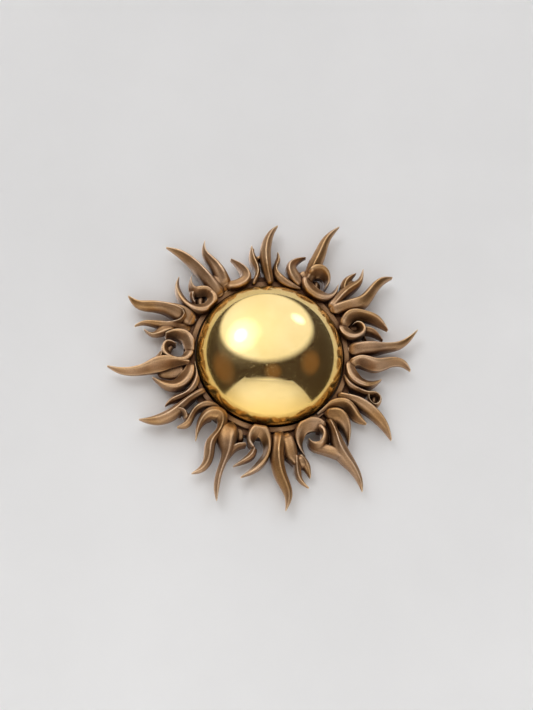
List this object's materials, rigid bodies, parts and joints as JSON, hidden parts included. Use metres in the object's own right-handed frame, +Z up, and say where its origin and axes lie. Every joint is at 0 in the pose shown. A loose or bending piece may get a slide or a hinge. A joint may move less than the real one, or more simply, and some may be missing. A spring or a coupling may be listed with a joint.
{
  "type": "sunburst wall ornament",
  "caption": "Wall-hung sunburst: a polished metal dome in a ring of sculpted bronze flames and scrolls, with a back plate and a swinging hanger ring.",
  "frame": {"origin": "centre of the sunburst on the wall plane, where the felt pad rests on the wall", "axes": "+Y into the wall, so the dome faces -Y; +Z up; +X to the viewer's right"},
  "size_m": [0.3199, 0.06, 0.3114],
  "materials": {
    "polished_brass": "mirror polished, lightly lacquered",
    "antique_bronze": "aged bronze, satin, rubbed paler on the ridges",
    "painted_steel": "black satin paint",
    "plated_steel": "zinc plated",
    "felt": "dense dark felt"
  },
  "bodies": {
    "root": {"sun_dome": "polished_brass", "carrier_ring": "antique_bronze", "flame_01_spear": "antique_bronze", "flame_02_tongue": "antique_bronze", "flame_03_hook": "antique_bronze", "flame_04_scroll_spear": "antique_bronze", "flame_05_fork": "antique_bronze", "flame_06_scroll": "antique_bronze", "flame_07_spear": "antique_bronze", "flame_08_loop": "antique_bronze", "flame_09_curl": "antique_bronze", "flame_10_spear": "antique_bronze", "flame_11_tongue": "antique_bronze", "flame_12_scroll_spear": "antique_bronze", "flame_13_fork_spear": "antique_bronze", "flame_14_scroll": "antique_bronze", "flame_15_spear": "antique_bronze", "flame_16_hook_spear": "antique_bronze", "flame_17_spear": "antique_bronze", "flame_18_tongue": "antique_bronze", "flame_19_sliver": "antique_bronze", "flame_20_scoop_spear": "antique_bronze", "flame_21_scroll": "antique_bronze", "flame_22_claw": "antique_bronze", "flame_23_scroll": "antique_bronze", "flame_24_twin_spear": "antique_bronze", "flame_25_hook": "antique_bronze", "flame_26_fork": "antique_bronze", "back_plate": "painted_steel", "back_plate_screws": "plated_steel", "flame_screws": "plated_steel", "felt_ring": "felt", "hanger_strap": "plated_steel", "hanger_rivets": "plated_steel"},
    "hanger": {"hanger_ring": "plated_steel"}
  },
  "joints": [
    {"name": "hanger_swing", "type": "hinge", "parent": "root", "child": "hanger", "pos_m": [0, -0.0049, 0.045], "axis": [1, 0, 0], "range_deg": [0, 180]}
  ]
}
